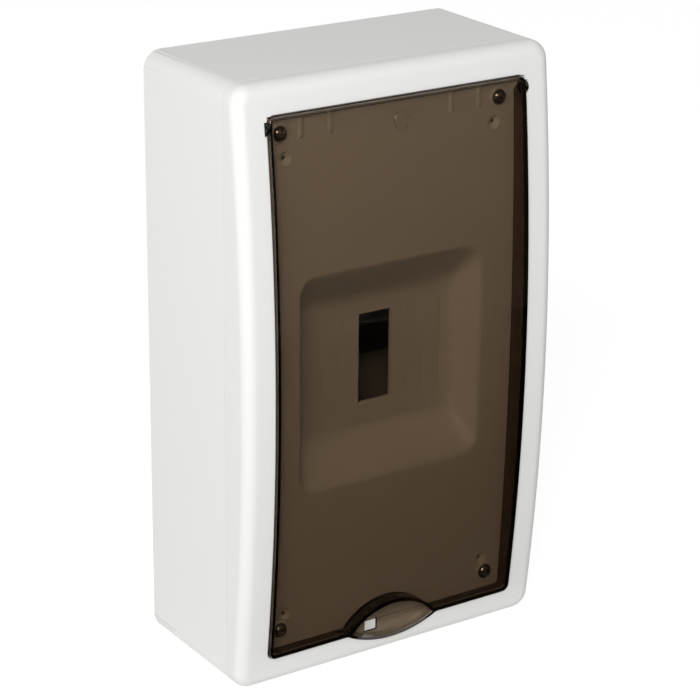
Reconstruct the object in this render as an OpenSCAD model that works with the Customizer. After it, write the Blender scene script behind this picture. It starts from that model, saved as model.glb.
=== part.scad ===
// Surface-mounted DC combiner box: a back box, a screwed-on bowed cover with a sunken
// module window, and a smoked door that lifts on pivots at its top corners.
// Everything is drawn lying on its back: X is right, Y is up and Z is the distance
// forward from the wall. The module standing() turns it upright, front towards -Y.

/* [Enclosure] */
// Width of the enclosure
box_w = 176; // [160:1:240]
// Height of the enclosure
box_h = 300; // [260:1:380]
// Depth of the back box, from the wall to the seam
base_d = 71; // [66:1:95]
// Wall thickness of the white mouldings
wall = 2.5; // [2:0.1:3.5]
// Radius of the four corners, seen from the front
corner_r = 9; // [8:0.5:16]
// Radius of the cover's rounded front edge
edge_r = 6; // [3:0.5:7]

/* [Cover] */
// Height of the cover above the seam, at its top and bottom ends
cover_rise = 10; // [9:0.5:16]
// How far the middle of the cover bulges beyond its ends
cover_bow = 10; // [4:0.5:16]
// Width of the cover's rim beside the door
rim_side = 16; // [14:0.5:26]
// Width of the cover's rim above and below the door
rim_end = 14.5; // [12:0.5:24]
// Corner radius of the door opening
opening_r = 4; // [2:0.5:8]
// Height of the inner panel above the seam, at its top and bottom ends
panel_rise = 4; // [3:0.5:5]
// How far the middle of the inner panel bulges beyond its ends
panel_bow = 4.5; // [2:0.5:6]
// Length of the cover's lip inside the back box
lip_len = 3.5; // [2:0.5:6]

/* [Module window] */
// Number of modules that the window is wide
modules = 4; // [2:1:5]
// Width of one module with its room
module_w = 19; // [17:0.5:20]
// Height of the module slot
slot_h = 45.5; // [45:0.5:48]
// How far the slot's middle lies above the window's middle
slot_lift = 2; // [0:0.5:4]
// How far the window's middle lies below the middle of the box
window_drop = 0.4; // [0:0.2:20]
// Depth of the window's floor behind the panel's crown
recess_deep = 15; // [10:0.5:18]
// Plain floor left beside the module row
floor_side = 7.5; // [4:0.5:12]
// Plain floor left above and below the slot
floor_end = 12; // [6:0.5:18]
// How far the window's side walls lean outwards
lean_side = 6; // [2:0.5:8]
// How far the window's upper and lower walls lean outwards
lean_end = 19; // [8:0.5:20]
// Corner radius of the window's outline
recess_r = 8; // [4:0.5:12]
// Distance from the rail's face to the window's floor
device_nose = 43.5; // [42:0.5:46]
// Width of the score lines between the knock-out strips
score_w = 0.6; // [0.4:0.1:1]

/* [Door] */
// Thickness of the door
door_t = 2; // [1.6:0.1:3]
// Gap all round between the door and its opening
door_gap = 0.3; // [0.3:0.05:0.8]
// How far the door stands in front of the cover's rim
door_proud = 1.5; // [0.5:0.1:3]
// Gap between the door's skirts and the inner panel
skirt_gap = 1; // [0.6:0.1:3]
// Distance of the hinge axis below the top of the opening
hinge_drop = 5.8; // [5:0.1:8]
// Distance of the hinge axis behind the rim's face
hinge_set = 1.5; // [0.5:0.1:3]
// Radius of the ears beside the door
ear_r = 3; // [2.5:0.1:3.5]
// How far each ear stands out beside the door
ear_len = 1.5; // [1:0.1:2.5]
// Radius of the hinge pins
pin_r = 1.1; // [0.9:0.1:1.3]
// Length of the hinge pins beyond the ears
pin_len = 4; // [3:0.5:6]
// Radial clearance of the hinge pins in their bores
pin_fit = 0.06; // [0.02:0.01:0.1]

/* [Finger scoop] */
// Width of the scoop's mouth from tip to tip
scoop_w = 48.4; // [36:0.2:60]
// Height of the mouth's upper arch above its tips
scoop_up = 12; // [8:0.5:16]
// Depth of the mouth's lower arch below its tips
scoop_down = 6; // [3:0.5:7]
// Height of the tips above the lower edge of the opening
scoop_lift = 1; // [0:0.5:4]
// Wall thickness of the scoop
scoop_t = 1.5; // [1.2:0.1:2]
// Width of the catch in the scoop
catch_w = 6.6; // [5:0.2:12]
// Height of the catch in the scoop
catch_h = 5.4; // [4:0.2:8]
// Distance of the catch to the left of the middle
catch_off = 8.8; // [0:0.2:14]

/* [Fasteners] */
// Distance of the cover screws from the side edges of the opening
screw_side = 10.5; // [8:0.5:16]
// Distance of the cover screws from the top and bottom edges of the opening
screw_end = 11; // [10:0.5:20]
// Shank radius of the cover screws
screw_r = 2; // [1.5:0.1:2.5]
// Head radius of the cover screws
screw_head_r = 3.9; // [3:0.1:4.5]
// Free radial clearance of a screw in its hole
screw_fit = 0.08; // [0.05:0.01:0.2]
// Radius of the holes for the wall screws
wall_hole_r = 2.75; // [2:0.05:3.5]
// Distance between the wall screws across the box
wall_pitch_x = 144; // [100:1:150]
// Distance between the wall screws up the box
wall_pitch_z = 200; // [160:1:240]

/* [Rail and terminals] */
// Length of the mounting rail
rail_len = 112; // [90:1:140]
// Thickness of the rail's steel
rail_t = 1; // [1:0.1:1.5]
// Number of terminals on each live bar
live_ways = 5; // [3:1:6]
// Number of terminals on the earth bar
earth_ways = 9; // [5:1:12]
// Distance between terminals
way_pitch = 8.5; // [8:0.5:10]
// Width and height of the brass bars
bar_s = 8; // [7:0.5:10]
// Height of the live bars above the middle of the box
live_y = 78; // [70:1:90]
// Distance of the earth bar below the middle of the box
earth_y = 80; // [70:1:90]
// Distance of each live bar's middle from the middle of the box
live_x = 36; // [34:1:40]

/* [Hidden] */
$fn = 48;
arc_fn = 720;
cut = 1;
far = 400;
// Bowed surfaces: the cover's face and the inner panel, both arcs about lines along X
half_w = box_w / 2;
half_h = box_h / 2;
open_w = box_w - 2 * rim_side;
open_h = box_h - 2 * rim_end;
function bow_radius(half, rise) = (half * half + rise * rise) / (2 * rise);
face_top = base_d + cover_rise + cover_bow;
face_r = bow_radius(half_h, cover_bow);
panel_top = base_d + panel_rise + panel_bow;
panel_r = bow_radius(open_h / 2, panel_bow);
function face_d(y) = face_top - face_r + sqrt(face_r * face_r - y * y);
function panel_d(y) = panel_top - panel_r + sqrt(panel_r * panel_r - y * y);
// Offset that lets the rounded edges run into each other at a slight angle
blend = 0.08;
tub_t = 2.2;
lip_gap = 0.2;
lip_t = 1.4;
// Window
window_y = -window_drop;
slot_y = window_y + slot_lift;
window_floor = panel_top - recess_deep;
row_w = modules * module_w;
floor_w = row_w + 2 * floor_side;
floor_h = slot_h + 2 * floor_end;
score_deep = 0.6;
score_pitch = module_w / 2;
// Cover screws, sealing eyelets and door ribs
screw_x = open_w / 2 - screw_side;
screw_y = open_h / 2 - screw_end;
post_r = 5;
post_top = base_d - 9;
seat_pad = 0.6;
seat_d = panel_d(screw_y) + seat_pad;
screw_bite = 16;
head_h = 2.6;
drive_len = 4.6;
drive_deep = 1.2;
slot_w = 0.9;
clip_t = 0.8;
clip_r = 3.2;
clip_room = 1.4;
clip_fit = 0.05;
clip_gap = 0.1;
gusset_t = 1.6;
gusset_drop = 4;
eyelet_r = 3.5;
eyelet_hole_r = 1;
eyelet_deep = 1.5;
eyelet_foot_r = 1.6;
eyelet_in = 2.8;
eyelet_steps = [11.7, 8];
rib_w = 3;
rib_len = 14.8;
rib_rise = 1;
rib_places = [50, 34];
// Hinge
hinge_y = open_h / 2 - hinge_drop;
hinge_d = face_d(hinge_y) - hinge_set;
swing_r = hinge_drop - door_gap;
door_w = open_w - 2 * door_gap;
door_h = open_h - 2 * door_gap;
door_r = opening_r - door_gap;
notch_gap = 0.3;
ear_end = door_w / 2 + ear_len;
notch_end = ear_end + notch_gap;
pin_end = ear_end + pin_len;
hinge_block = 6.5;
gate_drop = 5.5;
gate_y = hinge_y - gate_drop;
gate_r = 4.8;
gate_w = 0.6;
gate_rise = 0.15;
// Scoop: the mouth is the lens between two arcs
tip_y = -open_h / 2 + scoop_lift;
up_r = bow_radius(scoop_w / 2, scoop_up);
down_r = bow_radius(scoop_w / 2, scoop_down);
scoop_clear = 0.38;
catch_drop = 1.3;
scoop_back = panel_d(tip_y) + scoop_clear + skirt_gap;
scoop_floor = scoop_back + scoop_t;
pocket_gap = 0.4;
pocket_t = 1.6;
pocket_d = scoop_back - skirt_gap;
catch_gap = 0.4;
catch_y = tip_y - catch_drop;
catch_rise = scoop_floor - catch_gap;
// Rail: a top-hat section, 35 mm wide and 7.5 mm high
rail_w = 35;
rail_h = 7.5;
rail_hat = 25;
support_h = window_floor - device_nose - rail_h - wall;
support_w = 14;
support_len = 30;
support_x = rail_len / 2 - 9;
stud_r = 3.5;
stud_h = 6;
stud_fit = 0.1;
rail_screw_r = 2;
rail_head_r = 3.6;
rail_head_h = 2.2;
screw_room = 0.2;
screw_end_gap = 1;
rail_slot_r = 3.1;
rail_slot_len = 15;
rail_slot_pitch = 25;
// Terminals
boss_h = 5;
boss_r = 4;
carrier_foot = 3;
carrier_end = 12;
carrier_w = 18;
carrier_screw_r = 1.5;
carrier_screw_in = 4.5;
carrier_head_r = 3;
carrier_head_h = 1.8;
seat_gap = 0.1;
cheek_t = 1.5;
cheek_h = 1.6;
clamp_r = 2;
clamp_head_r = 2.7;
clamp_tip_gap = 0.6;
wire_r = 2.2;
wire_low = 0.5;
guard_t = 1.4;
guard_gap = 0.3;
guard_room = 2;
function bar_len(ways) = ways * way_pitch + 2;
function carrier_len(ways) = bar_len(ways) + 2 * carrier_end;
bar_back = wall + boss_h + carrier_foot;
bar_front = bar_back + bar_s;
clamp_head_h = 2;
guard_front = bar_front + clamp_head_h + guard_room;
// Knock-outs for cables
knock_r = 10.5;
knock_w = 1;
knock_pitch = 42;
knock_d = 34;
knock_web = 0.9;

module standing() {
  rotate([90, 0, 0]) children();
}

module mirrored_x() {
  for (m = [0, 1]) mirror([m, 0, 0]) children();
}

module at_corners(x, y) {
  for (sx = [-1, 1], sy = [-1, 1]) translate([sx * x, sy * y, 0]) children();
}

module rounded(w, h, r) {
  square([w - 2 * r, h], center = true);
  square([w, h - 2 * r], center = true);
  at_corners(w / 2 - r, h / 2 - r) circle(r);
}

module prism(w, h, r, z0, z1) {
  translate([0, 0, z0]) linear_extrude(z1 - z0) rounded(w, h, r);
}

module block(x0, x1, y0, y1, z0, z1) {
  translate([x0, y0, z0]) cube([x1 - x0, y1 - y0, z1 - z0]);
}

// Everything behind a bowed surface of radius r whose crown is at height top
module behind_bow(r, top) {
  translate([0, 0, top - r]) rotate([0, 90, 0])
    cylinder(r = r, h = box_w + 20, center = true, $fn = arc_fn);
}

// A rod along X through a point of the YZ plane
module rod_x(x0, x1, y, z, r) {
  translate([x0, y, z]) rotate([0, 90, 0]) cylinder(r = r, h = x1 - x0);
}

module along_x(x0, x1) {
  translate([x0, 0, 0]) rotate([90, 0, 90]) linear_extrude(x1 - x0) children();
}

// The scoop's lens, grown by extra all round
module lens(extra) {
  intersection() {
    translate([0, tip_y + scoop_up - up_r]) circle(up_r + extra, $fn = 120);
    translate([0, tip_y - scoop_down + down_r]) circle(down_r + extra, $fn = 120);
  }
}

module lens_prism(extra, z0, z1) {
  translate([0, 0, z0]) linear_extrude(z1 - z0) lens(extra);
}

// Outer form of the cover: straight sides, bowed face, rounded front edge
module cover_form() {
  ball_y = half_h - edge_r;
  end_x = half_w - corner_r;
  side_y = half_h - corner_r;
  bow_z = face_top - face_r;
  function ball_z(y) = bow_z + sqrt(pow(face_r - edge_r, 2) - y * y);
  reach = cover_rise + cover_bow + 4;
  tilt = asin(side_y / (face_r - edge_r));
  turn = asin(half_h / (face_r - reach)) + 2;
  difference() {
    intersection() {
      prism(box_w, box_h, corner_r, base_d, face_top + cut);
      // The rim's section with its rounded edges, turned about the bow's axis
      translate([0, 0, bow_z]) rotate([0, 90, 0]) rotate([0, 0, 180 - turn])
        rotate_extrude(angle = 2 * turn, $fn = arc_fn) {
          translate([face_r - reach, -half_w + edge_r]) square([reach, box_w - 2 * edge_r]);
          translate([face_r - reach, -half_w]) square([reach - edge_r, box_w]);
          for (s = [-1, 1]) translate([face_r - edge_r, s * (half_w - edge_r)]) circle(edge_r);
        }
    }
    // Rounding along the two ends
    for (m = [0, 1]) mirror([0, m, 0]) along_x(-box_w, box_w) difference() {
      translate([ball_y, ball_z(ball_y) + blend]) square(2 * edge_r);
      translate([ball_y, ball_z(ball_y) + blend]) circle(edge_r);
    }
    // Rounding about the four corners, leaning with the bow
    for (mx = [0, 1], my = [0, 1]) mirror([mx, 0, 0]) mirror([0, my, 0])
      translate([end_x, side_y, ball_z(side_y)]) rotate([-tilt, 0, 0]) difference() {
        cube(2 * corner_r);
        rotate_extrude() intersection() {
          union() {
            translate([corner_r - edge_r + blend, 0]) circle(edge_r + blend);
            square([corner_r - edge_r + blend, edge_r + blend]);
          }
          square(2 * corner_r);
        }
      }
  }
}

// The sunken window, grown by extra on every side
module window_form(extra) {
  over = 6;
  lean = 1 + over / recess_deep;
  floor_z = window_floor - extra;
  top_z = panel_top + over;
  module funnel(half, lean_out) {
    polygon([[-half - extra, floor_z], [half + extra, floor_z],
      [half + lean_out * lean + extra, top_z], [-half - lean_out * lean - extra, top_z]]);
  }
  translate([0, window_y, 0]) intersection() {
    along_x(-half_w, half_w) funnel(floor_h / 2, lean_end);
    rotate([90, 0, 0]) translate([0, 0, -half_h]) linear_extrude(box_h) funnel(floor_w / 2, lean_side);
    prism(floor_w + 2 * (lean_side + extra), floor_h + 2 * (lean_end + extra), recess_r + extra,
      floor_z - cut, top_z);
  }
}

// The form that the smoked door's outer face follows
module door_front() {
  behind_bow(face_r + door_proud, face_top + door_proud);
}

module hinge_notch() {
  notch_r = ear_r + notch_gap;
  rod_x(open_w / 2 - cut, notch_end, hinge_y, hinge_d, notch_r);
  block(open_w / 2 - cut, notch_end, hinge_y - notch_r, hinge_y + notch_r, hinge_d, face_top);
}

module front_cover() color("whitesmoke") standing() {
  ledge = wall + lip_gap + lip_t;
  difference() {
    union() {
      difference() {
        cover_form();
        // Hollow behind the rim
        prism(box_w - 2 * ledge, box_h - 2 * ledge, corner_r - ledge / 2, base_d - cut, base_d + lip_t);
        intersection() {
          prism(box_w - 2 * wall, box_h - 2 * wall, corner_r - wall, base_d + lip_t, face_top);
          behind_bow(face_r - wall, face_top - wall);
        }
      }
      // Lip inside the back box
      difference() {
        prism(box_w - 2 * (wall + lip_gap), box_h - 2 * (wall + lip_gap), corner_r - wall,
          base_d - lip_len, base_d + lip_t);
        prism(box_w - 2 * ledge, box_h - 2 * ledge, corner_r - ledge / 2,
          base_d - lip_len - cut, base_d + lip_t + cut);
      }
      // Walls of the opening, the inner panel, the scoop's pocket and the hinge blocks
      intersection() {
        cover_form();
        union() {
          difference() {
            prism(open_w + 2 * tub_t, open_h + 2 * tub_t, opening_r + tub_t, base_d, face_top + cut);
            behind_bow(panel_r - tub_t, panel_top - tub_t);
          }
          intersection() {
            lens_prism(scoop_t + pocket_gap + pocket_t, pocket_d - pocket_t, face_top + cut);
            block(-half_w, half_w, -half_h, -open_h / 2, base_d, face_top);
          }
          mirrored_x() block(open_w / 2, pin_end + tub_t, hinge_y - hinge_block, hinge_y + hinge_block,
            hinge_d - hinge_block, face_top + cut);
        }
      }
      window_form(tub_t);
      at_corners(screw_x, screw_y) translate([0, 0, post_top])
        cylinder(r = post_r, h = panel_d(screw_y) - post_top);
    }
    // The opening in front of the panel
    difference() {
      prism(open_w, open_h, opening_r, base_d, face_top + cut);
      behind_bow(panel_r, panel_top);
      at_corners(screw_x, screw_y) translate([0, 0, base_d]) cylinder(r = post_r, h = seat_d - base_d);
      // Ribs below the upper edge
      intersection() {
        mirrored_x() for (x = rib_places)
          block(x - rib_w / 2, x + rib_w / 2, open_h / 2 - rib_len, open_h / 2 + cut,
            base_d, panel_top + cut);
        behind_bow(panel_r + rib_rise, panel_top + rib_rise);
      }
      // Catch for the door
      block(-catch_off - catch_w / 2, -catch_off + catch_w / 2, catch_y - catch_h / 2, catch_y + catch_h / 2,
        base_d, catch_rise);
    }
    // Pocket around the scoop in the lower rim, with the catch left standing
    difference() {
      intersection() {
        lens_prism(scoop_t + pocket_gap, pocket_d, face_top + cut);
        block(-half_w, half_w, -half_h, -open_h / 2 + 0.01, base_d, face_top + cut);
      }
      block(-catch_off - catch_w / 2, -catch_off + catch_w / 2, catch_y - catch_h / 2, catch_y + catch_h / 2,
        base_d, catch_rise);
    }
    window_form(0);
    // Module slot and score lines
    block(-module_w / 2, module_w / 2, slot_y - slot_h / 2, slot_y + slot_h / 2, base_d - 20, panel_top);
    translate([0, slot_y, window_floor - score_deep]) {
      mirrored_x() for (i = [1 : modules - 1])
        block(module_w / 2 + i * score_pitch - score_w / 2, module_w / 2 + i * score_pitch + score_w / 2,
          -slot_h / 2, slot_h / 2, 0, cut);
      for (s = [-1, 1])
        block(-row_w / 2, row_w / 2, s * slot_h / 2 - score_w / 2, s * slot_h / 2 + score_w / 2, 0, cut);
    }
    // Screw holes with room for the clips
    at_corners(screw_x, screw_y) translate([0, 0, post_top - cut]) {
      cylinder(r = screw_r + screw_fit, h = far);
      cylinder(r = clip_r + screw_fit, h = cut + clip_room);
    }
    // Sealing eyelets
    for (s = [-1, 1], e = [0, 1]) {
      y = (e == 0 ? 1 : -1) * (screw_y - eyelet_steps[e]);
      translate([s * (screw_x - eyelet_in), y, 0]) {
        translate([0, 0, panel_d(y) - eyelet_deep])
          cylinder(r1 = eyelet_foot_r, r2 = eyelet_r, h = eyelet_deep);
        translate([0, 0, panel_d(y)]) cylinder(r = eyelet_r, h = cut);
        translate([0, 0, base_d - cut]) cylinder(r = eyelet_hole_r, h = far);
      }
    }
    // Bearings for the hinge pins, with room in the corners for the door to swing
    mirrored_x() {
      hinge_notch();
      rod_x(open_w / 2 - opening_r, open_w / 2, hinge_y, hinge_d, swing_r + door_gap / 2);
      rod_x(notch_end - cut, pin_end + notch_gap, hinge_y, hinge_d, pin_r + pin_fit);
    }
  }
}

module back_box() color("white") standing() {
  difference() {
    union() {
      difference() {
        prism(box_w, box_h, corner_r, 0, base_d);
        prism(box_w - 2 * wall, box_h - 2 * wall, corner_r - wall, wall, base_d + cut);
      }
      // Posts for the cover screws, each tied to the side wall
      at_corners(screw_x, screw_y) cylinder(r = post_r, h = post_top);
      mirrored_x() for (s = [-1, 1])
        block(screw_x, half_w - wall / 2, s * screw_y - gusset_t / 2, s * screw_y + gusset_t / 2,
          wall / 2, post_top - gusset_drop);
      // Studs inside the rail supports, and bosses under the terminal carriers
      for (s = [-1, 1]) translate([s * support_x, slot_y, 0]) cylinder(r = stud_r, h = wall + stud_h);
      at_carrier_screws() cylinder(r = boss_r, h = wall + boss_h);
    }
    at_corners(screw_x, screw_y) translate([0, 0, post_top - screw_bite - cut])
      cylinder(r = screw_r + screw_fit, h = screw_bite + 2 * cut);
    for (s = [-1, 1]) translate([s * support_x, slot_y, wall])
      cylinder(r = rail_screw_r + screw_fit, h = stud_h + cut);
    at_carrier_screws() translate([0, 0, wall]) cylinder(r = carrier_screw_r + screw_fit, h = boss_h + cut);
    at_corners(wall_pitch_x / 2, wall_pitch_z / 2) translate([0, 0, -cut])
      cylinder(r = wall_hole_r, h = wall + 2 * cut);
    // Cable knock-outs: rings cut from below in the lower wall, from inside in the upper
    for (i = [-1 : 1]) {
      knock_out(i * knock_pitch, -half_h - cut, wall + cut - knock_web);
      knock_out(i * knock_pitch, half_h - wall - cut, wall + cut - knock_web);
    }
  }
}

module knock_out(x, y, h) {
  translate([x, y, knock_d]) rotate([-90, 0, 0]) difference() {
    cylinder(r = knock_r, h = h);
    translate([0, 0, -cut]) cylinder(r = knock_r - knock_w, h = h + 2 * cut);
  }
}

module rail_supports() color("gainsboro") standing() {
  for (s = [-1, 1]) translate([s * support_x, slot_y, wall]) difference() {
    block(-support_w / 2, support_w / 2, -support_len / 2, support_len / 2, 0, support_h);
    translate([0, 0, -cut]) cylinder(r = stud_r + stud_fit, h = stud_h + 2 * stud_fit + cut);
    translate([0, 0, -cut]) cylinder(r = rail_screw_r + screw_fit, h = support_h + 2 * cut);
  }
}

module din_rail() color("silver") standing() {
  z0 = wall + support_h;
  difference() {
    translate([0, slot_y, z0]) along_x(-rail_len / 2, rail_len / 2) {
      translate([-rail_hat / 2, 0]) square([rail_hat, rail_t]);
      for (m = [0, 1]) mirror([m, 0]) {
        translate([rail_hat / 2 - rail_t, 0]) square([rail_t, rail_h]);
        translate([rail_hat / 2 - rail_t, rail_h - rail_t])
          square([(rail_w - rail_hat) / 2 + rail_t, rail_t]);
      }
    }
    translate([0, slot_y, z0 - cut]) {
      for (s = [-1, 1]) translate([s * support_x, 0, 0]) cylinder(r = rail_screw_r + screw_room, h = rail_h);
      for (i = [-1 : 1]) translate([i * rail_slot_pitch, 0, 0]) linear_extrude(rail_h) {
        square([rail_slot_len - 2 * rail_slot_r, 2 * rail_slot_r], center = true);
        for (s = [-1, 1]) translate([s * (rail_slot_len / 2 - rail_slot_r), 0]) circle(rail_slot_r);
      }
    }
  }
}

// A pan-head screw seated at z = 0, with a slotted head
module pan_screw(shank_r, length, head_r, head_h) {
  difference() {
    union() {
      translate([0, 0, -length]) cylinder(r = shank_r, h = length + head_h / 2);
      cylinder(r = head_r, h = head_h);
    }
    block(-head_r - cut, head_r + cut, -slot_w / 2, slot_w / 2, head_h / 2, head_h + cut);
  }
}

module rail_screws() color("silver") standing() {
  seat = wall + support_h + rail_t;
  for (s = [-1, 1]) translate([s * support_x, slot_y, seat])
    pan_screw(rail_screw_r, seat - wall - screw_end_gap, rail_head_r, rail_head_h);
}

// Places of the carriers: middle x, middle y and number of terminals
function carriers() = [[-live_x, live_y, live_ways], [live_x, live_y, live_ways], [0, -earth_y, earth_ways]];

module at_carrier_screws() {
  for (c = carriers(), s = [-1, 1])
    translate([c[0] + s * (carrier_len(c[2]) / 2 - carrier_screw_in), c[1], 0]) children();
}

module at_ways(ways) {
  for (i = [0 : ways - 1]) translate([(i - (ways - 1) / 2) * way_pitch, 0, 0]) children();
}

module carrier(c) {
  ways = c[2];
  half = carrier_len(ways) / 2;
  seat_half = bar_len(ways) / 2 + seat_gap;
  translate([c[0], c[1], 0]) difference() {
    union() {
      block(-half, half, -carrier_w / 2, carrier_w / 2, wall + boss_h, bar_back);
      difference() {
        block(-seat_half - cheek_t, seat_half + cheek_t, -bar_s / 2 - seat_gap - cheek_t,
          bar_s / 2 + seat_gap + cheek_t, bar_back - cut, bar_back + cheek_h);
        block(-seat_half, seat_half, -bar_s / 2 - seat_gap, bar_s / 2 + seat_gap,
          bar_back, bar_back + cheek_h + cut);
      }
    }
    for (s = [-1, 1]) translate([s * (half - carrier_screw_in), 0, wall])
      cylinder(r = carrier_screw_r + screw_room, h = boss_h + carrier_foot + cut);
  }
}

module terminal_bar(c) {
  ways = c[2];
  mid = bar_back + bar_s / 2;
  translate([c[0], c[1], 0]) difference() {
    block(-bar_len(ways) / 2, bar_len(ways) / 2, -bar_s / 2, bar_s / 2, bar_back, bar_front);
    at_ways(ways) {
      translate([0, 0, mid]) cylinder(r = clamp_r + screw_fit, h = bar_s);
      translate([0, bar_s, mid - wire_low]) rotate([90, 0, 0]) cylinder(r = wire_r, h = 2 * bar_s);
    }
  }
}

module clamp_screws(c) {
  translate([c[0], c[1], bar_front]) at_ways(c[2])
    pan_screw(clamp_r, bar_s / 2 - clamp_tip_gap, clamp_head_r, clamp_head_h);
}

module terminal_guard(c) {
  ways = c[2];
  inner_x = bar_len(ways) / 2 + seat_gap + cheek_t + guard_gap;
  inner_y = bar_s / 2 + seat_gap + cheek_t + guard_gap;
  translate([c[0], c[1], 0]) difference() {
    block(-inner_x - guard_t, inner_x + guard_t, -inner_y - guard_t, inner_y + guard_t,
      bar_back, guard_front + guard_t);
    block(-inner_x, inner_x, -inner_y, inner_y, bar_back - cut, guard_front);
    at_ways(ways) {
      translate([0, 0, bar_front]) cylinder(r = clamp_head_r + guard_gap, h = far);
      block(-wire_r - guard_gap, wire_r + guard_gap, -2 * bar_s, 2 * bar_s,
        bar_back - cut, bar_back + bar_s / 2 + wire_r);
    }
  }
}

module positive_carrier() color("dimgray") standing() carrier(carriers()[0]);
module positive_bar() color("goldenrod") standing() terminal_bar(carriers()[0]);
module positive_clamp_screws() color("silver") standing() clamp_screws(carriers()[0]);
module positive_guard() color("firebrick") standing() terminal_guard(carriers()[0]);
module negative_carrier() color("dimgray") standing() carrier(carriers()[1]);
module negative_bar() color("goldenrod") standing() terminal_bar(carriers()[1]);
module negative_clamp_screws() color("silver") standing() clamp_screws(carriers()[1]);
module negative_guard() color("midnightblue") standing() terminal_guard(carriers()[1]);
module earth_carrier() color("seagreen") standing() carrier(carriers()[2]);
module earth_bar() color("goldenrod") standing() terminal_bar(carriers()[2]);
module earth_clamp_screws() color("silver") standing() clamp_screws(carriers()[2]);

module carrier_screws() color("silver") standing() {
  at_carrier_screws() translate([0, 0, bar_back])
    pan_screw(carrier_screw_r, bar_back - wall - screw_end_gap, carrier_head_r, carrier_head_h);
}

module cover_screws() color("gray") standing() {
  dome_r = (pow(screw_head_r, 2) + pow(head_h, 2)) / (2 * head_h);
  at_corners(screw_x, screw_y) difference() {
    union() {
      translate([0, 0, post_top - screw_bite])
        cylinder(r = screw_r, h = seat_d - post_top + screw_bite + head_h / 2);
      intersection() {
        translate([0, 0, seat_d + head_h - dome_r]) sphere(dome_r);
        translate([0, 0, seat_d]) cylinder(r = screw_head_r + cut, h = 2 * head_h);
      }
    }
    for (a = [0, 90]) rotate([0, 0, a])
      block(-drive_len / 2, drive_len / 2, -slot_w / 2, slot_w / 2,
        seat_d + head_h - drive_deep, seat_d + 2 * head_h);
  }
}

module screw_clips() color("silver") standing() {
  at_corners(screw_x, screw_y) translate([0, 0, post_top + clip_room - clip_t - clip_gap]) difference() {
    cylinder(r = clip_r, h = clip_t);
    translate([0, 0, -cut]) cylinder(r = screw_r + clip_fit, h = clip_t + 2 * cut);
  }
}

module door() color([0.35, 0.28, 0.22, 0.6]) standing() {
  inner_w = door_w - 2 * door_t;
  inner_h = door_h - 2 * door_t;
  difference() {
    union() {
      // Bowed tray: front sheet and skirts
      difference() {
        intersection() {
          prism(door_w, door_h, door_r, base_d, face_top + far);
          door_front();
        }
        intersection() {
          prism(inner_w, inner_h, door_r - door_t / 2, base_d - cut, face_top + cut);
          behind_bow(face_r + door_proud - door_t, face_top + door_proud - door_t);
        }
        behind_bow(panel_r + skirt_gap, panel_top + skirt_gap);
      }
      // Scoop, with its lower half standing out below the door
      intersection() {
        lens_prism(scoop_t, scoop_back, face_top + far);
        door_front();
      }
      // Gate mark in the middle of the upper edge
      intersection() {
        translate([0, gate_y, base_d]) difference() {
          cylinder(r = gate_r, h = far);
          translate([0, 0, -cut]) cylinder(r = gate_r - gate_w, h = far + 2 * cut);
        }
        behind_bow(face_r + door_proud + gate_rise, face_top + door_proud + gate_rise);
        block(-far, far, -far, far, face_d(gate_y) + door_proud - door_t / 2, far);
      }
    }
    // Nothing above the hinge axis reaches further from it than the swing radius
    difference() {
      block(-half_w, half_w, hinge_y, half_h, base_d, far);
      rod_x(-half_w, half_w, hinge_y, hinge_d, swing_r);
    }
    block(-inner_w / 2, inner_w / 2, hinge_y - swing_r, half_h, base_d, hinge_d);
    lens_prism(0, scoop_floor, face_top + far);
    // Hole for the catch
    block(-catch_off - catch_w / 2 - catch_gap, -catch_off + catch_w / 2 + catch_gap,
      catch_y - catch_h / 2 - catch_gap, catch_y + catch_h / 2 + catch_gap,
      scoop_back - cut, scoop_floor + cut);
  }
  mirrored_x() {
    rod_x(inner_w / 2, ear_end, hinge_y, hinge_d, ear_r);
    rod_x(inner_w / 2, pin_end, hinge_y, hinge_d, pin_r);
  }
}

back_box();
rail_supports();
din_rail();
rail_screws();
positive_carrier();
positive_bar();
positive_clamp_screws();
positive_guard();
negative_carrier();
negative_bar();
negative_clamp_screws();
negative_guard();
earth_carrier();
earth_bar();
earth_clamp_screws();
carrier_screws();
front_cover();
cover_screws();
screw_clips();
door();
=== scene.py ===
import math

import bmesh
import bpy
import numpy as np
from mathutils import Matrix, Vector


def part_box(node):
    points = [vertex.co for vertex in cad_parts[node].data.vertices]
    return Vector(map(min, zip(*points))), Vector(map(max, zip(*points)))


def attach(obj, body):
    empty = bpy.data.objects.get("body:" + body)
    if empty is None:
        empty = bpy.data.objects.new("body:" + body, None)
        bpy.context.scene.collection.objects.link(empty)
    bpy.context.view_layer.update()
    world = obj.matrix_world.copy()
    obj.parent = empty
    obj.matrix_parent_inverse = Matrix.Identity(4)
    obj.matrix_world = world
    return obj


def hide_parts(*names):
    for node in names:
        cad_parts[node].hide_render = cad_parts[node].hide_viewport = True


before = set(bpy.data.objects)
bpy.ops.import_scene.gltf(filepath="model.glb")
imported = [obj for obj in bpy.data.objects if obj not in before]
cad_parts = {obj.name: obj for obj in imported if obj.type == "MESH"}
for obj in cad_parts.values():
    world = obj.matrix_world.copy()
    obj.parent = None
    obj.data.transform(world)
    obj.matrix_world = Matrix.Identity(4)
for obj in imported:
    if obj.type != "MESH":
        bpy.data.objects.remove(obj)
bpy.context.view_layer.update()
mm = 0.001

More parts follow.
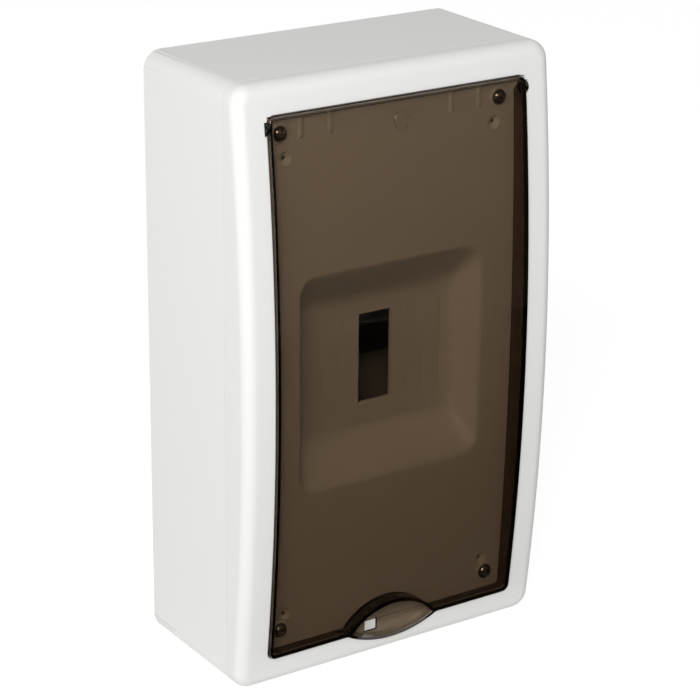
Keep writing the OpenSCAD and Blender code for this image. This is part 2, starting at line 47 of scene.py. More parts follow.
# Sizes shared by the pieces, in mm; x to the right, up from the middle, depth from the wall
baseLow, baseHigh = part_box("back_box")
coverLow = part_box("front_cover")[0]
halfW = baseHigh[0] / mm
halfH = baseHigh[2] / mm
seamDepth = -baseLow[1] / mm
faceTop = -coverLow[1] / mm
box = {
    "cornerR": 9.0, "edgeR": 6.0, "wall": 2.5,
    "endRise": 10.0,                       # cover above the seam at its two ends
    "openW": 2 * halfW - 32.0, "openH": 2 * halfH - 29.0, "openR": 4.0,
    "panelRise": 4.0, "panelBow": 4.5,
}


def arcRadius(half, rise):
    # radius of the arc over a chord of twice half that rises by rise in its middle
    return (half * half + rise * rise) / (2 * rise)


faceR = arcRadius(halfH, faceTop - seamDepth - box["endRise"])
panelTop = seamDepth + box["panelRise"] + box["panelBow"]
panelR = arcRadius(box["openH"] / 2, box["panelBow"])


def faceDepth(up):
    # circular arc along the height, highest in the middle
    return faceTop - faceR + np.sqrt(faceR ** 2 - np.clip(up, -halfH, halfH) ** 2)


def panelDepth(up):
    # a flatter arc of the same kind, over the opening's height only
    half = box["openH"] / 2
    return panelTop - panelR + np.sqrt(panelR ** 2 - np.clip(up, -half, half) ** 2)


def rowPoints(x, up, depth):
    # local x, up, depth in mm to the row's metres, front towards -Y
    return np.stack([x, -depth, up], axis=-1) * mm


# Mesh helpers

def makeMesh(name, points, faces, smoothAngle=35):
    # an object of its own from an array of points in metres and a list of faces
    mesh = bpy.data.meshes.new(name)
    mesh.from_pydata(points.reshape(-1, 3).tolist(), [], faces)
    obj = bpy.data.objects.new(name, mesh)
    bpy.context.scene.collection.objects.link(obj)
    tidyMesh(obj, smoothAngle)
    return obj


def tidyMesh(obj, smoothAngle, merge=2e-6):
    # welds doubled points, turns faces outwards and marks sharp edges
    bm = bmesh.new()
    bm.from_mesh(obj.data)
    bmesh.ops.remove_doubles(bm, verts=bm.verts, dist=merge)
    bmesh.ops.dissolve_degenerate(bm, dist=merge, edges=bm.edges)
    bmesh.ops.recalc_face_normals(bm, faces=bm.faces)
    bm.to_mesh(obj.data)
    bm.free()
    obj.data.shade_smooth()
    obj.data.set_sharp_from_angle(angle=math.radians(smoothAngle))


def gridFaces(rows, cols, closeRows=False, closeCols=False, offset=0):
    # quads of a rows x cols grid of points, wrapped round where asked
    r = np.arange(rows if closeRows else rows - 1)
    c = np.arange(cols if closeCols else cols - 1)
    rr, cc = np.meshgrid(r, c, indexing="ij")
    r2, c2 = (rr + 1) % rows, (cc + 1) % cols
    quads = np.stack([rr * cols + cc, rr * cols + c2, r2 * cols + c2, r2 * cols + cc], axis=-1)
    return (quads.reshape(-1, 4) + offset).tolist()


def evenNormals(obj):
    # large flat faces keep their own normal next to small fillets
    mod = obj.modifiers.new("evenNormals", "WEIGHTED_NORMAL")
    mod.keep_sharp = True
    mod.weight = 60


def softCopy(node, body, smoothAngle=28):
    # a merged, smooth-shaded copy of a CAD node stands for it
    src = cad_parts[node]
    obj = bpy.data.objects.new(node + "Soft", src.data.copy())
    bpy.context.scene.collection.objects.link(obj)
    bm = bmesh.new()
    bm.from_mesh(obj.data)
    bmesh.ops.remove_doubles(bm, verts=bm.verts, dist=1e-6)
    bm.to_mesh(obj.data)
    bm.free()
    obj.data.shade_smooth()
    obj.data.set_sharp_from_angle(angle=math.radians(smoothAngle))
    evenNormals(obj)
    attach(obj, body)
    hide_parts(node)
    return obj


# Rounded-rectangle loops: every loop has the same points, so loops of any size join up
loop = {"corner": 10, "across": 22, "along": 64}


def loopPattern():
    # quarter circles at four corner centres joined by straight runs; per point: which centre it
    # belongs to (-1..1 each way) and its outward normal
    runs = []
    signs = [(1, 1), (-1, 1), (-1, -1), (1, -1)]
    for k, (sx, sz) in enumerate(signs):
        a = np.radians(90 * k) + np.linspace(0, math.pi / 2, loop["corner"] + 1)
        runs.append((np.full(a.shape, sx), np.full(a.shape, sz), np.cos(a), np.sin(a)))
        tx, tz = signs[(k + 1) % 4]
        count = loop["across"] if k % 2 == 0 else loop["along"]
        t = np.linspace(0, 1, count + 1)[1:-1]
        nx, nz = round(math.cos(a[-1])), round(math.sin(a[-1]))
        runs.append((sx + (tx - sx) * t, sz + (tz - sz) * t, np.full(t.shape, nx), np.full(t.shape, nz)))
    return [np.concatenate(v).astype(float) for v in zip(*runs)]


patX, patZ, patNX, patNZ = loopPattern()


def loopXZ(halfX, halfZ, radius):
    # columns of one loop per row: corner centre plus radius along the normal
    hx, hz, r = [np.atleast_1d(np.asarray(v, float))[:, None] for v in (halfX, halfZ, radius)]
    return (hx - r) * patX + r * patNX, (hz - r) * patZ + r * patNZ


def cap(halfX, halfZ, depthOf):
    # rectangular grid that closes a square-cornered loop
    x = np.linspace(-halfX, halfX, loop["across"] + 1)
    z = np.linspace(-halfZ, halfZ, loop["along"] + 1)
    xx, zz = np.meshgrid(x, z, indexing="ij")
    return rowPoints(xx, zz, depthOf(zz)), gridFaces(len(x), len(z))


def joined(parts):
    # several (points, faces) blocks as one
    points, faces, at = [], [], 0
    for p, f in parts:
        p = p.reshape(-1, 3)
        points.append(p)
        faces += [[i + at for i in q] for q in f]
        at += len(p)
    return np.concatenate(points), faces


def lathe(profile, centre, axis, segments=40):
    # profile of (radius, height) turned about an axis through centre; heights run along the axis
    prof = np.asarray(profile, float)
    a = np.linspace(0, 2 * math.pi, segments, endpoint=False)
    w = Vector(axis).normalized()
    u = w.orthogonal().normalized()
    v = w.cross(u)
    u, v, w = np.array(u), np.array(v), np.array(w)
    ring = np.cos(a)[:, None] * u + np.sin(a)[:, None] * v
    pts = prof[:, 0][:, None, None] * ring[None] + prof[:, 1][:, None, None] * w + np.array(centre)
    return pts * mm, gridFaces(len(prof), segments, closeCols=True)


def applied(obj):
    # bakes an object's modifiers into its mesh
    dg = bpy.context.evaluated_depsgraph_get()
    mesh = bpy.data.meshes.new_from_object(obj.evaluated_get(dg))
    obj.modifiers.clear()
    obj.data = mesh
    return obj


def carve(obj, cutter, operation="DIFFERENCE"):
    # an exact boolean, applied at once; the cutter goes
    mod = obj.modifiers.new("carve", "BOOLEAN")
    mod.object = cutter
    mod.operation = operation
    mod.solver = "EXACT"
    applied(obj)
    bpy.data.objects.remove(cutter)
    return obj


# Materials

def nodeTree(name):
    # a new material with its tree and its main shader
    mat = bpy.data.materials.new(name)
    mat.use_nodes = True
    nt = mat.node_tree
    return mat, nt, nt.nodes["Principled BSDF"]


def mathNode(nodes, operation):
    node = nodes.new("ShaderNodeMath")
    node.operation = operation
    return node


def colorMix(nodes, blend="MIX"):
    node = nodes.new("ShaderNodeMix")
    node.data_type = "RGBA"
    node.blend_type = blend
    return node


skin = {"cloudScale": 14.0, "cloudDetail": 3.0, "grainDetail": 2.0, "shade": 0.99}


def mouldGroup():
    # moulded plastic: faint flow mottling in colour, fine texture in roughness and height
    g = bpy.data.node_groups.new("mouldedSkin", "ShaderNodeTree")
    face = g.interface
    face.new_socket("Color", in_out="INPUT", socket_type="NodeSocketColor")
    for label, value in (("Mottle", 0.02), ("Roughness", 0.35), ("Spread", 0.06), ("Grain Size", 900.0)):
        s = face.new_socket(label, in_out="INPUT", socket_type="NodeSocketFloat")
        s.default_value = value
    face.new_socket("Color", in_out="OUTPUT", socket_type="NodeSocketColor")
    face.new_socket("Roughness", in_out="OUTPUT", socket_type="NodeSocketFloat")
    face.new_socket("Height", in_out="OUTPUT", socket_type="NodeSocketFloat")
    n, l = g.nodes, g.links
    gin, gout = n.new("NodeGroupInput"), n.new("NodeGroupOutput")
    coord = n.new("ShaderNodeTexCoord")
    cloud = n.new("ShaderNodeTexNoise")
    cloud.inputs["Scale"].default_value = skin["cloudScale"]
    cloud.inputs["Detail"].default_value = skin["cloudDetail"]
    grain = n.new("ShaderNodeTexNoise")
    grain.inputs["Detail"].default_value = skin["grainDetail"]
    l.new(coord.outputs["Object"], cloud.inputs["Vector"])
    l.new(coord.outputs["Object"], grain.inputs["Vector"])
    l.new(gin.outputs["Grain Size"], grain.inputs["Scale"])
    shade = mathNode(n, "MULTIPLY_ADD")
    l.new(cloud.outputs["Fac"], shade.inputs[0])
    l.new(gin.outputs["Mottle"], shade.inputs[1])
    shade.inputs[2].default_value = skin["shade"]
    tint = colorMix(n, "MULTIPLY")
    tint.inputs[0].default_value = 1.0
    l.new(gin.outputs["Color"], tint.inputs[6])
    l.new(shade.outputs[0], tint.inputs[7])
    l.new(tint.outputs[2], gout.inputs["Color"])
    rough = mathNode(n, "MULTIPLY_ADD")
    l.new(cloud.outputs["Fac"], rough.inputs[0])
    l.new(gin.outputs["Spread"], rough.inputs[1])
    l.new(gin.outputs["Roughness"], rough.inputs[2])
    l.new(rough.outputs[0], gout.inputs["Roughness"])
    l.new(grain.outputs["Fac"], gout.inputs["Height"])
    return g


skinGroup = mouldGroup()


def plastic(name, color, roughness, mottle=0.02, spread=0.06, grain=900.0, bump=0.02, rounding=0.0):
    # moulded plastic with its own colour and gloss; rounding in metres softens a CAD piece's edges
    mat, nt, bsdf = nodeTree(name)
    g = nt.nodes.new("ShaderNodeGroup")
    g.node_tree = skinGroup
    g.inputs["Color"].default_value = (*color, 1)
    g.inputs["Mottle"].default_value = mottle
    g.inputs["Roughness"].default_value = roughness
    g.inputs["Spread"].default_value = spread
    g.inputs["Grain Size"].default_value = grain
    nt.links.new(g.outputs["Color"], bsdf.inputs["Base Color"])
    nt.links.new(g.outputs["Roughness"], bsdf.inputs["Roughness"])
    relief = nt.nodes.new("ShaderNodeBump")
    relief.inputs["Strength"].default_value = bump
    relief.inputs["Distance"].default_value = 0.4 * mm
    nt.links.new(g.outputs["Height"], relief.inputs["Height"])
    if rounding:
        edge = nt.nodes.new("ShaderNodeBevel")
        edge.samples = 4
        edge.inputs["Radius"].default_value = rounding
        nt.links.new(edge.outputs["Normal"], relief.inputs["Normal"])
    nt.links.new(relief.outputs["Normal"], bsdf.inputs["Normal"])
    bsdf.inputs["IOR"].default_value = 1.5
    return mat


def metal(name, color, roughness, spread=0.12, scratch=400.0, stretch=(1, 1, 12)):
    # plated or rolled metal: streaks along one way and patchy gloss
    mat, nt, bsdf = nodeTree(name)
    n, l = nt.nodes, nt.links
    coord = n.new("ShaderNodeTexCoord")
    place = n.new("ShaderNodeMapping")
    place.inputs["Scale"].default_value = stretch
    streak = n.new("ShaderNodeTexNoise")
    streak.inputs["Scale"].default_value = scratch
    streak.inputs["Detail"].default_value = 4.0
    l.new(coord.outputs["Object"], place.inputs["Vector"])
    l.new(place.outputs["Vector"], streak.inputs["Vector"])
    ramp = n.new("ShaderNodeMapRange")
    ramp.inputs["To Min"].default_value = roughness
    ramp.inputs["To Max"].default_value = roughness + spread
    l.new(streak.outputs["Fac"], ramp.inputs["Value"])
    l.new(ramp.outputs["Result"], bsdf.inputs["Roughness"])
    dull = 0.8                             # how much darker the streaks are
    mix = colorMix(n)
    mix.inputs[6].default_value = (*[c * dull for c in color], 1)
    mix.inputs[7].default_value = (*color, 1)
    l.new(streak.outputs["Fac"], mix.inputs[0])
    l.new(mix.outputs[2], bsdf.inputs["Base Color"])
    bsdf.inputs["Metallic"].default_value = 1.0
    return mat


smoke = {
    "density": 650.0, "color": (0.40, 0.295, 0.17),   # what 2 mm of it takes from the light
    "roughness": 0.025, "haze": (9.0, 0.4), "ior": 1.5,   # haze: scale and share of the roughness
    "lampPass": (0.72, 0.69, 0.64),        # what the lamps' light keeps of itself on the way through
}


def smokedPlastic(name):
    # clear plastic with a tint in its thickness, slightly hazed; the lamps' light passes straight on
    mat, nt, bsdf = nodeTree(name)
    n, l = nt.nodes, nt.links
    coord = n.new("ShaderNodeTexCoord")
    haze = n.new("ShaderNodeTexNoise")
    haze.inputs["Scale"].default_value, spread = smoke["haze"]
    l.new(coord.outputs["Object"], haze.inputs["Vector"])
    ramp = n.new("ShaderNodeMapRange")
    ramp.inputs["To Min"].default_value = smoke["roughness"] * (1 - spread)
    ramp.inputs["To Max"].default_value = smoke["roughness"] * (1 + spread)
    l.new(haze.outputs["Fac"], ramp.inputs["Value"])
    l.new(ramp.outputs["Result"], bsdf.inputs["Roughness"])
    bsdf.inputs["Base Color"].default_value = (1, 1, 1, 1)
    bsdf.inputs["Transmission Weight"].default_value = 1.0
    bsdf.inputs["IOR"].default_value = smoke["ior"]
    clear = n.new("ShaderNodeBsdfTransparent")
    clear.inputs["Color"].default_value = (*smoke["lampPass"], 1)
    path = n.new("ShaderNodeLightPath")
    mix = n.new("ShaderNodeMixShader")
    l.new(path.outputs["Is Shadow Ray"], mix.inputs[0])
    l.new(bsdf.outputs[0], mix.inputs[1])
    l.new(clear.outputs[0], mix.inputs[2])
    l.new(mix.outputs[0], n["Material Output"].inputs["Surface"])
    body = n.new("ShaderNodeVolumeAbsorption")
    body.inputs["Color"].default_value = (*smoke["color"], 1)
    body.inputs["Density"].default_value = smoke["density"]
    l.new(body.outputs[0], n["Material Output"].inputs["Volume"])
    return mat


whiteBase = plastic("whiteBase", (0.80, 0.80, 0.785), 0.30)
whiteCover = plastic("whiteCover", (0.80, 0.80, 0.785), 0.46)
greyPlastic = plastic("greyPlastic", (0.42, 0.43, 0.44), 0.5, bump=0.05, rounding=0.0004)
blackPlastic = plastic("blackPlastic", (0.018, 0.018, 0.02), 0.45, bump=0.05, rounding=0.0003)
redPlastic = plastic("redPlastic", (0.45, 0.02, 0.015), 0.4, bump=0.05, rounding=0.0003)
bluePlastic = plastic("bluePlastic", (0.012, 0.05, 0.27), 0.4, bump=0.05, rounding=0.0003)
greenPlastic = plastic("greenPlastic", (0.03, 0.24, 0.06), 0.42, bump=0.05, rounding=0.0003)
zincSteel = metal("zincSteel", (0.62, 0.63, 0.64), 0.28, stretch=(1, 14, 14))
zincScrew = metal("zincScrew", (0.66, 0.66, 0.65), 0.2)
darkNickel = metal("darkNickel", (0.30, 0.28, 0.26), 0.12, spread=0.06)
milledBrass = metal("milledBrass", (0.72, 0.50, 0.20), 0.22, stretch=(20, 1, 1))
smokedDoor = smokedPlastic("smokedDoor")


def wear(obj, mat):
    obj.data.materials.clear()
    obj.data.materials.append(mat)


# White cover

# the door's sizes come first, because the cover's bearings are cut to them
door = {
    "gap": 0.3, "wall": 2.0, "proud": 1.5, "skirtGap": 1.0, "edge": 0.5, "innerEdge": 0.6, "foot": 0.25,
    "hingeDrop": 5.8, "hingeSet": 1.5, "earR": 3.0, "earLen": 1.5, "pinR": 1.1, "pinLen": 4.0,
    "mark": (4.8, 0.7, 0.4), "markDrop": 5.5,
}
hingeUp = box["openH"] / 2 - door["hingeDrop"]
hingeDepth = float(faceDepth(np.array(hingeUp))) - door["hingeSet"]
swingR = door["hingeDrop"] - door["gap"]
doorHalfW = box["openW"] / 2 - door["gap"]
earEnd = doorHalfW + door["earLen"]
pinEnd = earEnd + door["pinLen"]

cover = {
    "seamEdge": 0.5, "openEdge": 0.7, "innerEdge": 0.8, "backEdge": 2.5, "tubEdge": 0.6,
    "windowDrop": 0.4, "slotLift": 2.0, "floorDepth": panelTop - 15.0,
    "outline": (51.5, 53.75, 8.0), "floor": (45.5, 34.75, 2.5),
    "rimSoft": 1.6, "floorSoft": 0.22,     # convex fillet in mm, concave fillet as a share of the wall
    "wallStart": 0.14, "floorIn": 4.0,     # where the straight wall starts, and how far the fillet runs in
    "strips": (38.5, 23.2, 0.3), "plateWall": 2.2,
    "lipLen": 3.5, "lipGap": 0.2, "lipWall": 1.4,
}


class Stations:
    # rows of loops: half sizes, corner radius, drop of the middle, and a depth that is a share of
    # the bowed face plus a share of the bowed panel plus a constant
    def __init__(self):
        self.rows = []

    def add(self, halfX, halfZ, radius, face=0.0, panel=0.0, fixed=0.0, drop=0.0):
        self.rows.append((halfX, halfZ, radius, face, panel, fixed, drop))

    def mesh(self, closeRows):
        # points of all rows at once, and the quads between neighbouring rows
        v = np.array(self.rows)
        x, z = loopXZ(v[:, 0], v[:, 1], v[:, 2])
        z = z - v[:, 6:7]
        depth = v[:, 3:4] * faceDepth(z) + v[:, 4:5] * panelDepth(z) + v[:, 5:6]
        pts = rowPoints(x, z, depth)
        return pts, gridFaces(len(v), x.shape[1], closeRows=closeRows, closeCols=True)


def bend(a, b, c, t):
    # parabola from a to c that leaves along b, for tuples of numbers
    a, b, c = (np.asarray(v, float) for v in (a, b, c))
    return (1 - t) ** 2 * a + 2 * t * (1 - t) * b + t * t * c


def coverStations():
    # one closed skin: up the outer side, over the rounded edge, down into the opening, across the
    # panel, down the window wall, and back behind all of it a wall's thickness away
    s = Stations()
    corner, e, w = box["cornerR"], box["edgeR"], box["wall"]
    k = cover["seamEdge"]
    for t in np.linspace(0, math.pi / 2, 4):
        inset = k * (1 - math.sin(t))
        s.add(halfW - inset, halfH - inset, corner - inset, fixed=seamDepth + k * (1 - math.cos(t)))
    for share in (0.3, 0.7):               # straight side up to where the rounding starts
        s.add(halfW, halfH, corner, face=share, fixed=(1 - share) * (seamDepth + k) - share * e)
    for t in np.linspace(0, math.pi / 2, 11):
        inset = e * (1 - math.cos(t))
        s.add(halfW - inset, halfH - inset, corner - inset, face=1, fixed=-e * (1 - math.sin(t)))
    ow, oh, orad, q = box["openW"] / 2, box["openH"] / 2, box["openR"], cover["openEdge"]
    outer, inner = (halfW - e, halfH - e, corner - e), (ow + q, oh + q, orad + q)
    for t in (0.33, 0.67):
        s.add(*[a + (b - a) * t for a, b in zip(outer, inner)], face=1)
    for t in np.linspace(0, math.pi / 2, 6):
        grow = q * (1 - math.sin(t))
        s.add(ow + grow, oh + grow, orad + grow, face=1, fixed=-q * (1 - math.cos(t)))
    f = cover["innerEdge"]
    for share in (0.35, 0.7):
        s.add(ow, oh, orad, face=1 - share, panel=share, fixed=-q * (1 - share) + f * share)
    for t in np.linspace(0, math.pi / 2, 5):
        inset = f * (1 - math.cos(t))
        s.add(ow - inset, oh - inset, orad - inset, panel=1, fixed=f * (1 - math.sin(t)))
    # panel between the opening and the window, one loop every few millimetres
    o, fl, drop, soft = cover["outline"], cover["floor"], cover["windowDrop"], cover["rimSoft"]
    a, b = (ow - f, oh - f, orad - f, 0.0), (*[v + soft for v in o], drop)
    for t in np.linspace(0, 1, 22)[1:-1]:
        p = [u + (v - u) * t for u, v in zip(a, b)]
        s.add(*p[:3], panel=1, drop=p[3])
    # window wall: outline at the panel, floor at a fixed depth, softened at both ends
    depth = cover["floorDepth"]

    def wallAt(share):
        # half sizes, radius, share of panel depth and fixed depth part
        half = [u + (v - u) * share for u, v in zip(o, fl)]
        return (*half, 1 - share, depth * share)

    top, low, inward = cover["wallStart"], 1 - cover["floorSoft"], cover["floorIn"]
    flat = (fl[0] - inward, fl[1] - inward, fl[2], 0, depth)
    window = [bend((*b[:3], 1, 0), (*o, 1, 0), wallAt(top), t) for t in np.linspace(0, 1, 7)]
    window += [wallAt(share) for share in np.linspace(top, low, 4)[1:-1]]
    window += [bend(wallAt(low), (*fl, 0, depth), flat, t) for t in np.linspace(0, 1, 9)]
    for p in window:
        s.add(*p[:3], panel=p[3], fixed=p[4], drop=drop)
    strip, slotDrop = cover["strips"], drop - cover["slotLift"]
    s.add(*strip, fixed=depth, drop=slotDrop)
    # back side, a wall's thickness behind
    pw = cover["plateWall"]
    s.add(*strip, fixed=depth - pw, drop=slotDrop)
    s.add(*fl, fixed=depth - pw, drop=drop)
    c = (*[v + pw for v in o], drop)
    d = (ow + pw, oh + pw, orad + pw, 0.0)
    for t in np.linspace(0, 1, 8):
        p = [u + (v - u) * t for u, v in zip(c, d)]
        s.add(*p[:3], panel=1, fixed=-pw, drop=p[3])
    tub, back = cover["tubEdge"], cover["backEdge"]
    s.add(*d[:3], face=1, fixed=-w - tub)
    s.add(*[v + tub for v in d[:3]], face=1, fixed=-w)
    s.add(halfW - w - back, halfH - w - back, corner - w - back, face=1, fixed=-w)
    s.add(halfW - w, halfH - w, corner - w, face=1, fixed=-w - back)
    # lip that goes inside the back box
    lip = w + cover["lipGap"]
    ledge = lip + cover["lipWall"]
    s.add(halfW - w, halfH - w, corner - w, fixed=seamDepth + cover["lipWall"])
    s.add(halfW - ledge, halfH - ledge, corner - ledge / 2, fixed=seamDepth + cover["lipWall"])
    s.add(halfW - ledge, halfH - ledge, corner - ledge / 2, fixed=seamDepth - cover["lipLen"])
    s.add(halfW - lip, halfH - lip, corner - w, fixed=seamDepth - cover["lipLen"])
    s.add(halfW - lip, halfH - lip, corner - w, fixed=seamDepth)
    return s


scoop = {
    "width": 48.4, "up": 12.0, "down": 6.0, "lift": 1.0, "wall": 1.5, "gap": 0.4, "pocketWall": 1.6,
    "catch": (6.6, 5.4), "catchOff": 8.8, "catchDrop": 1.3, "catchGap": 0.4, "bowShare": 0.1,
    "pocketGap": 1.0,                      # between the bowl and the pocket's floor
}
tipUp = -box["openH"] / 2 + scoop["lift"]
scoopBack = seamDepth + box["panelRise"] + box["panelBow"] * scoop["bowShare"] + scoop["pocketGap"]
scoopFloor = scoopBack + scoop["wall"]


def lensOutline(extra, count=28):
    # two arcs through the tips, grown outwards by extra
    upR, downR = arcRadius(scoop["width"] / 2, scoop["up"]), arcRadius(scoop["width"] / 2, scoop["down"])
    upC, downC = tipUp + scoop["up"] - upR, tipUp - scoop["down"] + downR
    ra, rb = upR + extra, downR + extra
    meet = ((ra ** 2 - rb ** 2) - (upC ** 2 - downC ** 2)) / (2 * (downC - upC))
    half = math.sqrt(ra ** 2 - (meet - upC) ** 2)
    a0, b0 = math.atan2(meet - upC, half), math.atan2(meet - downC, half)
    a = np.linspace(a0, math.pi - a0, count, endpoint=False)
    b = np.linspace(math.pi - b0, 2 * math.pi + b0, count, endpoint=False)
    x = np.concatenate([ra * np.cos(a), rb * np.cos(b)])
    up = np.concatenate([upC + ra * np.sin(a), downC + rb * np.sin(b)])
    return x, up


def lensPrism(name, extra, low, high, smoothAngle=35):
    # closed prism of the lens; low and high are depths, or functions of up
    x, up = lensOutline(extra)
    mid = np.full_like(x, tipUp + (scoop["up"] - scoop["down"]) / 2)
    rings = []
    for share, depth in ((0.0, low), (1.0, low), (1.0, high), (0.0, high)):
        u = mid + (up - mid) * share
        d = depth(u) if callable(depth) else np.full_like(x, depth)
        rings.append(rowPoints(x * share, u, d))
    return makeMesh(name, np.stack(rings), gridFaces(4, len(x), closeCols=True), smoothAngle)


def brick(name, x, up, depth):
    # plain cutter between pairs of limits
    xs, us, ds = [np.array(v, float) for v in (x, up, depth)]
    i = np.array([[0, 0, 0], [1, 0, 0], [1, 1, 0], [0, 1, 0], [0, 0, 1], [1, 0, 1], [1, 1, 1], [0, 1, 1]])
    pts = rowPoints(xs[i[:, 0]], us[i[:, 1]], ds[i[:, 2]])
    quads = [[0, 1, 2, 3], [4, 5, 6, 7], [0, 1, 5, 4], [1, 2, 6, 5], [2, 3, 7, 6], [3, 0, 4, 7]]
    return makeMesh(name, pts, quads)


fixing = {
    "screw": (61.5, 124.5), "pad": (5.0, 0.6), "shank": 2.08,
    "eyeletIn": 2.8, "eyeletSteps": (11.7, 8.0), "eyelet": (3.5, 1.5, 1.6), "eyeletHole": 1.0,
}


toFront = (0, -1, 0)


def aboveOpening():
    # block over the panel, so that what is carved or kept below it stays in the rim
    return brick("aboveOpening", (-60, 60), (-box["openH"] / 2, 0), (0, 120))


def screwPlaces():
    sx, su = fixing["screw"]
    return [(s * sx, t * su) for s in (-1, 1) for t in (-1, 1)]


def eyeletPlaces():
    # one beside each screw, a little inwards
    sx, su = fixing["screw"]
    upper, lower = fixing["eyeletSteps"]
    return [(s * (sx - fixing["eyeletIn"]), up) for s in (-1, 1) for up in (su - upper, lower - su)]


def upright(name, x, up, radius, low, high, segments=40):
    # closed cylinder along the depth
    prof = [(0, low), (radius, low), (radius, high), (0, high)]
    return makeMesh(name, *lathe(prof, (x, 0, up), toFront, segments))


bearing = {"notchGap": 0.3, "pinFit": 0.06, "half": 6.5, "wall": 2.2, "under": 0.8}


def rodX(name, x0, x1, radius, reachFront=0.0, segments=40):
    # closed bar along x on the hinge line: a circle, or a half circle drawn out to the front
    x0, x1 = sorted((x0, x1))
    a = np.linspace(0, 2 * math.pi, segments, endpoint=False)
    up, depth = hingeUp + radius * np.cos(a), hingeDepth + radius * np.sin(a)
    if reachFront:
        wide = np.sign(np.cos(a)) * np.minimum(1, 3 * np.abs(np.cos(a)))
        depth = np.where(np.sin(a) > 0, reachFront, depth)
        up = np.where(np.sin(a) > 0, hingeUp + radius * wide, up)
    share = np.array([0.0, 1.0, 1.0, 0.0])[:, None]
    xs = np.array([x0, x0, x1, x1])[:, None] + 0 * a
    mid = depth.mean()
    pts = rowPoints(xs, hingeUp + (up - hingeUp) * share, mid + (depth - mid) * share)
    return makeMesh(name, pts, gridFaces(4, segments, closeCols=True))


def carveBearings(obj):
    # side notches for the door's ears, bores for its pins and swing room in the corners
    top, g = faceTop + 3, bearing["notchGap"]
    for s in (-1, 1):
        inner, notchEnd = box["openW"] / 2 - 1, earEnd + g
        carve(obj, rodX("earNotch", s * inner, s * notchEnd, door["earR"] + g, top))
        carve(obj, rodX("pinBore", s * (notchEnd - 1), s * (pinEnd + g), door["pinR"] + bearing["pinFit"]))
        side = inner + 1
        carve(obj, rodX("swingRoom", s * (side - box["openR"]), s * side, swingR + door["gap"] / 2))


def makeCover():
    # the closed skin, less the pocket for the scoop, the coned eyelets and the hinge's room
    obj = makeMesh("whiteCoverShell", *coverStations().mesh(closeRows=True))
    cutters = [lensPrism("pocketCut", scoop["wall"] + scoop["gap"], seamDepth + 1, faceTop + 5)]
    carve(cutters[0], aboveOpening())
    for x, up in eyeletPlaces():
        d = float(panelDepth(up))
        wide, deep, foot = fixing["eyelet"]
        dish = [(0, d - deep), (foot, d - deep), (wide, d), (wide, d + 3), (0, d + 3)]
        cutters.append(makeMesh("eyeletCut", *lathe(dish, (x, 0, up), toFront)))
        cutters.append(upright("eyeletHole", x, up, fixing["eyeletHole"], d - 6, d + 3, 24))
    for c in cutters:
        carve(obj, c)
    carveBearings(obj)
    tidyMesh(obj, 32)
    return obj


def coverPiece(obj):
    # every piece of the moulded cover rides on it and stands for its CAD node
    evenNormals(obj)
    wear(obj, whiteCover)
    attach(obj, "cover")
    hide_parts("front_cover")
    return obj


coverShell = coverPiece(makeCover())
print("cover shell", len(coverShell.data.polygons))

strips = {"pitch": 9.5, "slot": (9.5, 22.75), "score": (0.8, 0.6)}


def makeStrips():
    # scored plate behind the window: a flat grid whose depth dips in a V at each score line, with the
    # slot's cells left out, a flat back and walls wherever a kept cell has no neighbour
    halfX, halfUp = cover["strips"][:2]
    half, deep = strips["score"][0] / 2, strips["score"][1]
    slotX, slotUp = strips["slot"]
    xLines = [i * strips["pitch"] for i in (2, 3, 4)]
    xs = {-halfX, halfX, -slotX, slotX}
    for c in xLines:
        for s in (-1, 1):
            xs |= {s * c - half, s * c, s * c + half}
    ups = {-halfUp, halfUp, *[s * (slotUp + d) for s in (-1, 1) for d in (-half, 0, half)]}
    xs = np.array(sorted(v for v in xs if abs(v) <= halfX + 1e-9))
    ups = np.array(sorted(v for v in ups if abs(v) <= halfUp + 1e-9))
    xx, zz = np.meshgrid(xs, ups, indexing="ij")
    dip = np.clip(1 - np.abs(np.abs(zz) - slotUp) / half, 0, 1)
    for c in xLines:
        near = np.clip(1 - np.abs(np.abs(xx) - c) / half, 0, 1)
        dip = np.maximum(dip, near * (np.abs(zz) <= slotUp + half))
    up = zz - cover["windowDrop"] + cover["slotLift"]
    front = rowPoints(xx, up, cover["floorDepth"] - deep * dip)
    back = rowPoints(xx, up, np.full_like(xx, cover["floorDepth"] - cover["plateWall"]))
    rows, cols = xx.shape
    midX, midUp = np.meshgrid((xs[:-1] + xs[1:]) / 2, (ups[:-1] + ups[1:]) / 2, indexing="ij")
    keep = ~((np.abs(midX) < slotX) & (np.abs(midUp) < slotUp))
    quads = np.array(gridFaces(rows, cols)).reshape(rows - 1, cols - 1, 4)[keep]
    padded, under = np.pad(keep, 1), rows * cols
    walls = []
    # a cell's two corners on one side, and the step to the cell across it
    for p, q, step in (((0, 0), (1, 0), (0, -1)), ((1, 0), (1, 1), (1, 0)),
                       ((1, 1), (0, 1), (0, 1)), ((0, 1), (0, 0), (-1, 0))):
        bare = ~padded[1 + step[0]:rows + step[0], 1 + step[1]:cols + step[1]]
        i, j = np.nonzero(keep & bare)
        a, b = (i + p[0]) * cols + j + p[1], (i + q[0]) * cols + j + q[1]
        walls += np.stack([a, b, b + under, a + under], axis=-1).tolist()
    pts = np.concatenate([front.reshape(-1, 3), back.reshape(-1, 3)])
    return makeMesh("scoredPlate", pts, quads.tolist() + (quads + under).tolist() + walls, 20)


coverPiece(makeStrips())


